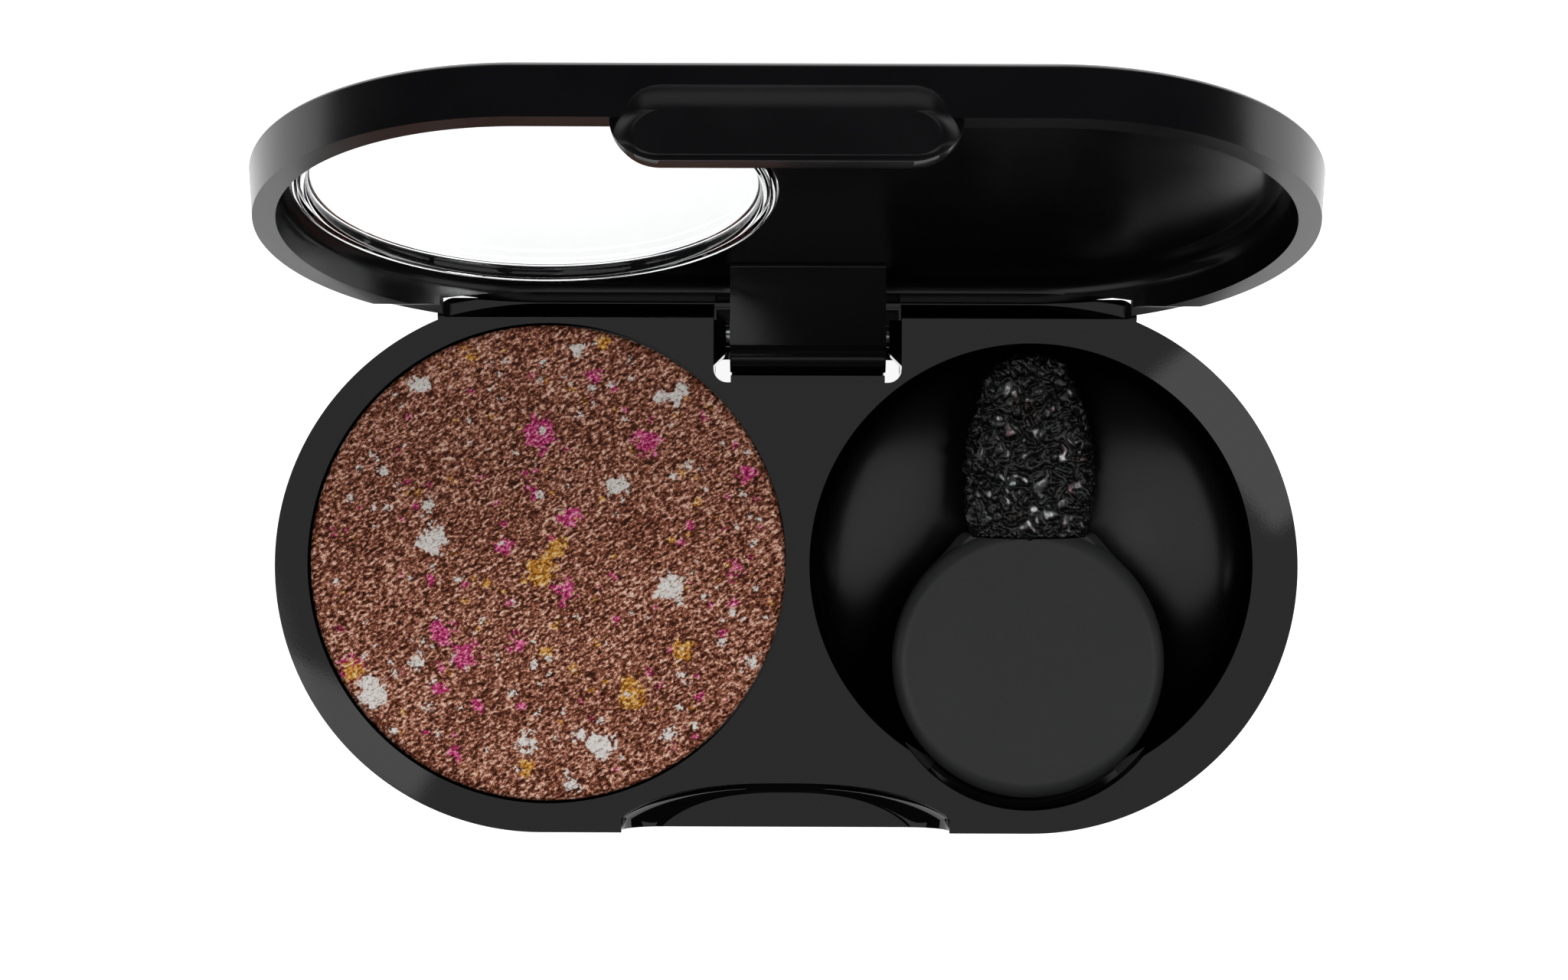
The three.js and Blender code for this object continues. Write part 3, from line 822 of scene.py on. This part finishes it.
def applicator_handle():
    """Finger disc with a flared neck and the stem that the foam is pushed on."""
    radius, top, bottom = DISC_RADIUS, DISC_TOP, DISC_BOTTOM
    under = quarter(radius, bottom + 0.9, radius - 1.1, bottom)[::-1]
    over = quarter(radius, top - 0.85, radius - 1.0, top)
    dished_top = [(radius * 0.5, top - 0.06), (0, top - 0.08)]
    disc = turned("handle_visual", [(0, bottom)] + under + over + dished_top, DISC_X, DISC_Y, 256)
    half_neck = [(6.5, -0.4), (6.0, 0.36), (5.35, 1.05), (4.75, 1.8), (4.35, 2.18), (4.1, 2.26),
                 (3.85, 2.15)]
    neck = [(DISC_X + x, y) for x, y in half_neck] + [(DISC_X - x, y) for x, y in half_neck[::-1]]
    narrow = [(DISC_X + (x - DISC_X) * 0.9, y - 0.22) for x, y in neck]
    levels = [(neck, SPONGE_Z - 1.0), (neck, top - 1.2), (narrow, top - 0.5)]
    join(disc, loft("neck", [flat_ring(outline, z) for outline, z in levels]))
    seat = [(DISC_X - 3.72, 1.95), (DISC_X - 2.4, 1.86), (DISC_X, 1.82), (DISC_X + 2.4, 1.86),
            (DISC_X + 3.72, 1.95), (DISC_X + 3.72, 4.0), (DISC_X - 3.72, 4.0)]
    cut(disc, prism("seat", seat, bottom - 1, DECK_Z + 1))
    round_edges(clean(disc), 0.16, 4, 30)
    stem = turned("stem", [(0, 0), (1.0, 0), (0.9, 6.6), (0.6, 7.0), (0, 7.0)], 0, 0, 64)
    root = Vector((SPONGE_X, SPONGE_LOW.y - 0.5, SPONGE_Z)) * MM
    stem.data.transform(Matrix.Translation(root) @ Matrix.Rotation(-math.pi / 2, 4, "X"))
    shade(join(disc, stem))
    return disc


def sponge_tip():
    """Flattened egg of coarse foam with a bore for the handle's stem. It ends a little short of
    its CAD solid, so that the bumps of its tip stay clear of the well's wall."""
    tip_gap = 0.35
    length = SPONGE_HIGH.y - SPONGE_LOW.y - tip_gap
    half_width = (SPONGE_HIGH.x - SPONGE_LOW.x) / 2
    half_thick = (SPONGE_HIGH.z - SPONGE_LOW.z) / 2
    around, along = 340, 190
    turn = np.linspace(0, 2 * math.pi, around, endpoint=False)

    def ring(width, thick, y):
        return np.column_stack([width * np.cos(turn), np.full(around, y), thick * np.sin(turn)])

    bore = 1.2
    rings = [ring(bore, bore, 6.9), ring(bore, bore, 0.0)]
    base = 0.86
    for share in np.linspace(0.35, 1, 12)[:-1]:
        rings.append(ring(half_width * base * share, half_thick * base * share, 0.0))
    travel = np.linspace(0, 1, along)
    for t in travel[:-1]:
        angle = t * math.pi / 2
        y = 0.06 + length * (0.22 * t + 0.78 * math.sin(angle)) if t > 0 else 0.0
        swell = base + (1 - base) * math.sin(min(t / 0.3, 1) * math.pi / 2)
        taper = max(math.cos(angle), 0.0) ** 0.52
        rings.append(ring(half_width * swell * taper, half_thick * swell * taper ** 0.9, min(y, length)))
    count = len(rings)
    points = np.vstack(rings)
    skin = loft("sponge_visual", [[tuple(p) for p in r] for r in rings])
    skin.data.calc_loop_triangles()
    normals = np.zeros(len(points) * 3)
    skin.data.vertices.foreach_get("normal", normals)
    normals = normals.reshape(-1, 3)
    warp = np.column_stack([smooth_noise(points, 0.9, seed) for seed in (61, 62, 63)])
    bent = points + 0.28 * warp
    worms = np.minimum(np.abs(smooth_noise(bent, 1.1, 64)), 0.4) ** 0.6
    beads = np.minimum(np.abs(smooth_noise(bent, 0.62, 65)), 0.4) ** 0.7
    swell = smooth_noise(points, 2.4, 66)
    push = -0.3 + 0.55 * worms + 0.42 * beads + 0.1 * swell
    level = np.repeat(np.arange(count), around)
    push *= step_between(1.5, 14.0, level.astype(float))
    points = points + normals * push[:, None]
    place = points + np.array([SPONGE_X, SPONGE_LOW.y, SPONGE_Z])
    skin.data.vertices.foreach_set("co", (place * MM).ravel())
    # Marks the crests of the bumps, where the foam's material paints highlights; its low values leave
    # painted shade in the creases.
    crest_highlight = skin.data.attributes.new("crest_highlight", "FLOAT", "POINT")
    crest_highlight.data.foreach_set("value", step_between(0.25, 0.62, worms * beads * 1.9))
    skin.data.update()
    for polygon in skin.data.polygons:
        polygon.use_smooth = True
    return skin


# ------------------------------------------------------------------ lid, drawn shut
def open_lid(piece):
    """Swings a piece drawn shut, with heights above the rim, to the lid's rest pose."""
    pin = Vector((0, HINGE_Y, HINGE_Z)) * MM
    drawn_pin = Vector((0, HINGE_Y, HINGE_RISE)) * MM
    swing = Matrix.Translation(pin) @ Matrix.Rotation(-OPEN_ANGLE, 4, "X") @ Matrix.Translation(-drawn_pin)
    piece.data.transform(swing)
    piece.data.update()
    return piece


def long_stadium(radius, arc_steps=64, side_steps=44):
    """The outline with points along its straight sides too."""
    right = arc(END_SPACING, 0, radius, -90, 90, arc_steps)
    left = arc(-END_SPACING, 0, radius, 90, 270, arc_steps)
    xs = np.linspace(END_SPACING, -END_SPACING, side_steps + 1)[1:-1]
    return right + [(x, radius) for x in xs] + left + [(-x, -radius) for x in xs]


BAND_LEFT, BAND_RIGHT = KNUCKLE_LEFT - 0.35, KNUCKLE_RIGHT + 0.75
BAND_LEVEL, POCKET_LEVEL = 2.55, 2.95


def ceiling(x, y, room):
    """Inside height of the lid above its rim: two shallow pockets either side of a band."""
    wall = room - math.hypot(max(abs(x) - END_SPACING, 0), y)
    corner = 1.7
    edge = (x - BAND_RIGHT) if x > (BAND_LEFT + BAND_RIGHT) / 2 else (BAND_LEFT - x)
    a, b = corner - (wall - 1.25), corner - edge
    depth = corner - (math.hypot(max(a, 0), max(b, 0)) + min(max(a, b), 0))
    rise = float(step_between(-0.15, 0.75, depth))
    fillet = 1.0
    short = max(fillet - wall, 0)
    fall = fillet - math.sqrt(max(fillet ** 2 - short ** 2, 0))
    return BAND_LEVEL + (POCKET_LEVEL - BAND_LEVEL) * rise - fall


def lid_room():
    """The hollow inside the lid."""
    room = END_RADIUS - LID_WALL
    rings = [flat_ring(long_stadium(room), z) for z in (-1.0, BAND_LEVEL - 1.0)]
    close_steps = [0.02, 0.06, 0.12, 0.2, 0.3, 0.42, 0.56, 0.72, 0.86]
    for inset in close_steps + list(np.arange(1.0, room - 0.2, 0.25)) + [room]:
        outline = long_stadium(room - inset)
        rings.append([(x, y, ceiling(x, y, room)) for x, y in outline])
    return loft("room", rings, False)


def knuckle():
    """Block that hangs from the lid's band into the hinge slot, round about the pin. Its flat
    front ends in a corner with a small round lip under it."""
    front, top, root = HINGE_Y - KNUCKLE_RADIUS, LID_CEILING + 0.35, 0.22
    corner = HINGE_RISE - 1.5
    outline = [(front, corner), (front + 0.62, corner - 0.14)]
    outline += arc(HINGE_Y, HINGE_RISE, KNUCKLE_RADIUS, 223, 360, 56)
    outline += [(HINGE_Y + KNUCKLE_RADIUS, top), (front - root, top)]
    outline += arc(front - root, BAND_LEVEL - root, root, 90, 0, 6)
    left, right = KNUCKLE_LEFT, KNUCKLE_RIGHT
    hanging = slab("knuckle", outline, left, right)
    lip = [(0, left + 0.08), (0.65, left + 0.08), (0.65, right - 0.08), (0, right - 0.08)]
    join(hanging, bar("lip", lip, HINGE_Y - 0.93, HINGE_RISE - 1.9, 64))
    bore = PIN_HOLE + 0.15
    through = [(0, left - 1), (bore, left - 1), (bore, right + 1), (0, right + 1)]
    return cut(hanging, bar("bore", through, HINGE_Y, HINGE_RISE))


def thumb_tab():
    """Pill-shaped tab that hangs below the rim. Its front swells from the top and the ends, and
    stays nearly flat down to a crisp lower edge."""
    half, top, bottom, proud, thick = 10.55, 3.25, -2.9, 0.6, 0.95
    reach = (top - bottom) / 2
    middle = (top + bottom) / 2
    turns = np.radians(np.concatenate([np.linspace(-90, 90, 61), np.linspace(90, 270, 61)]))
    sides = [1] * 61 + [-1] * 61

    def ring(inset, y, swell):
        points = []
        for turn, side in zip(turns, sides):
            upper = float(step_between(-1.0, 0.1, math.sin(turn)))
            r = reach - inset * (0.12 + 0.88 * upper)
            depth = y + swell * (0.3 + 0.7 * upper)
            points.append((side * (half - reach) + r * math.cos(turn), depth, middle + r * math.sin(turn)))
        return points

    front, back = -END_RADIUS - proud, -END_RADIUS + thick
    rings = [ring(0.3, back, 0), ring(0, back - 0.3, 0)]
    for inset in list(np.linspace(0, 0.5, 6)) + list(np.linspace(0.7, 3.0, 16)):
        rings.append(ring(inset, front, 1.15 * (1 - inset / 3.05) ** 2.1))
    return loft("tab", rings)


def lid_shell():
    """Lid with its hollow, window hole, hinge knuckle, thumb tab and catch. Its back edge steps
    up in two reliefs, so that it clears the base as it opens."""
    side = END_RADIUS + LID_FLARE
    crown = [(END_RADIUS, 0), (side, LID_SIDE), (side - 0.06, LID_SIDE + 0.14),
             (side - 0.25, LID_SIDE + 0.33), (side - 0.55, LID_TOP - 0.22), (side - 1.0, LID_TOP - 0.09),
             (side - 1.6, LID_TOP - 0.02), (side - 2.2, LID_TOP)]
    low_step = [(13.5, -1), (30, -1), (30, 0.35), (14.6, 0.35), (14.25, 0.31), (13.95, 0.2), (13.5, 0)]
    deep_step = [(13.9, -1), (30, -1), (30, 1.85), (16.0, 1.85), (13.9, 0.35)]
    shell = loft("lid_visual", [flat_ring(stadium(r), z) for r, z in crown])
    cut(
        shell,
        lid_room(),
        disc_shape("window", LENS_RADIUS + 0.12, -1, LID_TOP + 1, WINDOW_X, 0, 320),
        slab("low_step", low_step, -60, 60),
        slab("deep_step", deep_step, -22.8, 22.8),
    )
    hook = [(-16.9, -2.6), (-15.0, -2.15), (-15.0, -1.75), (-16.9, -1.5)]
    join(shell, knuckle(), thumb_tab(), slab("hook", hook, -2.3, 2.3))
    round_edges(clean(shell), 0.1)
    return open_lid(shell)


def window_lens():
    """Clear lens with a stepped moulded ring under its edge."""
    radius = LENS_RADIUS
    low, high = 3.0, LID_TOP
    ring = [(0, low), (radius - 1.3, low), (radius - 1.16, low - 0.03), (radius - 1.06, low - 0.12),
            (radius - 1.0, low - 0.3), (radius - 0.96, low - 0.52), (radius - 0.88, low - 0.66),
            (radius - 0.76, low - 0.72), (radius - 0.64, low - 0.68), (radius - 0.57, low - 0.56),
            (radius - 0.5, low - 0.52), (radius - 0.42, low - 0.56), (radius - 0.34, low - 0.68),
            (radius - 0.22, low - 0.75), (radius - 0.1, low - 0.72), (radius - 0.02, low - 0.6),
            (radius, low - 0.4), (radius, high - 0.14), (radius - 0.05, high - 0.04),
            (radius - 0.14, high), (radius - 0.55, high), (radius - 0.62, high - 0.1),
            (radius - 0.78, high - 0.1), (radius - 0.85, high), (0, high)]
    return open_lid(shade(turned("lens_visual", ring, WINDOW_X, 0, 320), 40))


# ------------------------------------------------------------------ materials of the larger pieces
def polished_black():
    """Black plastic, polished on the flats and a little softer in the well."""
    n = Nodes("polished_black")
    well = n.attribute("well")["Fac"]
    cloud = n.noise(5.0, 3.0)
    grain = n.noise(0.09, 2.0, 0.6)
    n.set(
        Base_Color=n.ramp(grain, [(0.3, (0.0006, 0.0007, 0.0008)), (0.7, (0.0014, 0.0015, 0.0016))]),
        Roughness=n.math("ADD", n.span(cloud, 0.01, 0.03, 0.3, 0.7), n.math("MULTIPLY", well, 0.2)),
        Normal=n.bump(grain, 0.0015, 0.2),
    )
    return n.material


def shimmer_powder():
    """Brown baked shadow with coloured glitter crumbs, and painted light: its copper shimmer is painted as
    bright grains (painted glints), and raised grains and tops are painted lighter and crevices darker
    (painted shade).
    """
    n = Nodes("shimmer_powder")
    store = n.attribute("crumbs")
    split = n.node("ShaderNodeSeparateColor")
    n.link(store["Color"], split.inputs["Color"])
    brushed = n.node("ShaderNodeMapping")
    brushed.vector_type = "TEXTURE"
    brushed.inputs["Rotation"].default_value = (0, 0, BRUSH_LEAN)
    brushed.inputs["Scale"].default_value = (1.5, 1.0, 1.0)
    n.link(n.place, brushed.inputs["Vector"])
    grains = n.noise(0.17, 3.0, 0.72, brushed.outputs["Vector"])
    # Painted light and shade: the grains also raise the bump, and the relief from the attribute's alpha is
    # added, so tops come out lighter and crevices darker.
    tone = n.math("ADD", n.math("MULTIPLY", grains, 0.8), n.math("MULTIPLY", store["Alpha"], 0.3))
    # The top stops paint the copper shimmer's glints into the colour.
    body = n.ramp(tone, [
        (0.45, (0.03, 0.006, 0.002)), (0.51, (0.12, 0.032, 0.015)), (0.56, (0.3, 0.09, 0.047)),
        (0.61, (0.66, 0.28, 0.18)), (0.67, (1.0, 0.74, 0.6)),
    ])
    ragged = n.math("MULTIPLY", n.math("SUBTRACT", n.noise(0.22, 4.0, 0.7), 0.5), 0.75)

    # The crumbs' ramps run on the same grains, so their raised grains are painted lighter and their
    # hollows darker too.
    def crumb(channel, colors, under):
        mask = n.span(n.math("ADD", split.outputs[channel], ragged), 0, 1, 0.5, 0.515)
        return n.mix(mask, under, n.ramp(grains, colors))

    pink = crumb("Red", [(0.38, (0.12, 0.003, 0.03)), (0.46, (0.5, 0.02, 0.13)),
                         (0.54, (0.85, 0.09, 0.3)), (0.62, (0.98, 0.55, 0.68))], body)
    gold = crumb("Blue", [(0.38, (0.16, 0.04, 0.004)), (0.46, (0.55, 0.19, 0.012)),
                          (0.54, (0.88, 0.42, 0.06)), (0.62, (0.98, 0.82, 0.45))], pink)
    white = crumb("Green", [(0.36, (0.35, 0.24, 0.2)), (0.44, (0.8, 0.7, 0.63)),
                            (0.52, (0.95, 0.91, 0.87)), (0.62, (0.98, 0.97, 0.95))], gold)
    sparks = n.cells(0.15)
    n.set(
        Base_Color=white,
        Roughness=n.span(sparks, 0.9, 0.4, 0.0, 0.35),
        Normal=n.bump(grains, 0.12, 1.0),
        Specular_IOR_Level=0.2,
    )
    return n.material


# ------------------------------------------------------------------ stage
def white_floor():
    """A plain floor that glows nearly at full white, so that it stays white through the window."""
    half = 900
    corners = [(-half, -half, 0), (half, -half, 0), (half, half, 0), (-half, half, 0)]
    floor = mesh_object("floor", corners, [[0, 1, 2, 3]])
    n = Nodes("white_floor")
    fleck = n.noise(40.0, 2.0)
    n.set(
        Base_Color=n.ramp(fleck, [(0.3, (0.9, 0.9, 0.9)), (0.7, (0.93, 0.93, 0.93))]),
        Roughness=0.9,
        Specular_IOR_Level=0.1,
        Emission_Color=(1.0, 1.0, 1.0),
        Emission_Strength=0.92,
    )
    floor.data.materials.append(n.material)


def softbox(name, place, size, radiance, shows=True, aim=(0, 5), turn=0.0):
    """A rectangular light at a place in mm, aimed at a point of the deck. The panels show in the
    polished plastic as reflections, and the key and the fills are hidden from reflections."""
    data = bpy.data.lights.new(name, "AREA")
    data.shape = "RECTANGLE"
    data.size, data.size_y = size[0] * MM, size[1] * MM
    data.energy = radiance * math.pi * data.size * data.size_y
    light = bpy.data.objects.new(name, data)
    light.location = Vector(place) * MM
    line = Vector((*aim, DECK_Z)) * MM - light.location
    spin = Matrix.Rotation(turn, 3, "Z").to_quaternion()
    light.rotation_euler = (line.to_track_quat("-Z", "Y") @ spin).to_euler()
    light.visible_camera = False
    light.visible_glossy = shows
    bpy.context.scene.collection.objects.link(light)


def room_light(strength):
    world = bpy.data.worlds.new("room")
    world.use_nodes = True
    world.node_tree.nodes["Background"].inputs["Color"].default_value = (1, 1, 1, 1)
    world.node_tree.nodes["Background"].inputs["Strength"].default_value = strength
    bpy.context.scene.world = world


def camera():
    """Looks straight down at the deck from a little behind its middle."""
    height, turn = 299, 0.0033
    data = bpy.data.cameras.new("camera")
    data.lens = 104.7
    data.sensor_width = 36
    data.shift_x = -0.0073
    data.clip_start = 0.01
    data.clip_end = 10
    view = bpy.data.objects.new("camera", data)
    view.location = Vector((0.59, 5.0, DECK_Z + height)) * MM
    view.rotation_euler = (0, 0, turn)
    bpy.context.scene.collection.objects.link(view)
    bpy.context.scene.camera = view


# ------------------------------------------------------------------ assembly
polished = polished_black()
finish_piece(deck_body(), polished, "base", "deck_body")
finish_piece(bottom_cover(), polished, "base", "bottom_cover")
finish_piece(hinge_pin(), steel_wire(), "base", "hinge_pin")
finish_piece(tile_adhesive(), foam_tape(), "base", "tile_adhesive")
finish_piece(powder_tile(), unglazed_tile(), "base", "powder_tile")
finish_piece(pressed_powder(), shimmer_powder(), "base", "pressed_powder")
finish_piece(
    applicator_handle(),
    moulded_plastic("applicator_black", (0.024, 0.0245, 0.025), 0.38, 0.14, 0.006),
    "applicator", "applicator_handle",
)
foam = finish_piece(sponge_tip(), sponge_foam(), "applicator", "sponge_tip")
finish_piece(
    lid_shell(),
    moulded_plastic("gloss_black", (0.0028, 0.0029, 0.0036), 0.24, 0.1, 0.0015, 0.03),
    "lid", "lid_shell",
)
finish_piece(window_lens(), clear_plastic(), "lid", "window_lens")

white_floor()

# Panels that the polished plastic mirrors
softbox("overhead", (0, -5, 710), (290, 200), 0.55)
softbox("right_panel", (390, -90, 600), (430, 430), 0.75)
softbox("left_panel", (-290, -90, 600), (400, 430), 0.75)
softbox("back_panel", (0, 620, 330), (700, 300), 0.42)
softbox("left_strip", (-640, 40, 170), (60, 500), 1.2)
softbox("right_strip", (640, 40, 170), (60, 500), 0.8)

# Two cards near the camera, each mirrored as a pale patch on one shoulder of the deck
CARD_TURN = math.radians(-57)
softbox("upper_right_card", (58.5, 12.4, 308), (9, 26), 1.1, True, (29.3, 8.7), CARD_TURN)
softbox("lower_left_card", (-58.6, -26.0, 308), (9, 26), 1.1, True, (-29.0, -10.6), CARD_TURN)

# Key and fills, hidden from reflections
softbox("key", (330, 330, 420), (160, 160), 14.0, False)
softbox("front_fill", (-300, -500, 420), (500, 300), 2.0, False)
softbox("back_fill", (0, 560, 500), (600, 300), 1.4, False)
softbox("top_fill", (-40, 0, 800), (600, 600), 0.9, False)
room_light(0.03)
camera()
bpy.context.scene.view_settings.view_transform = "Standard"
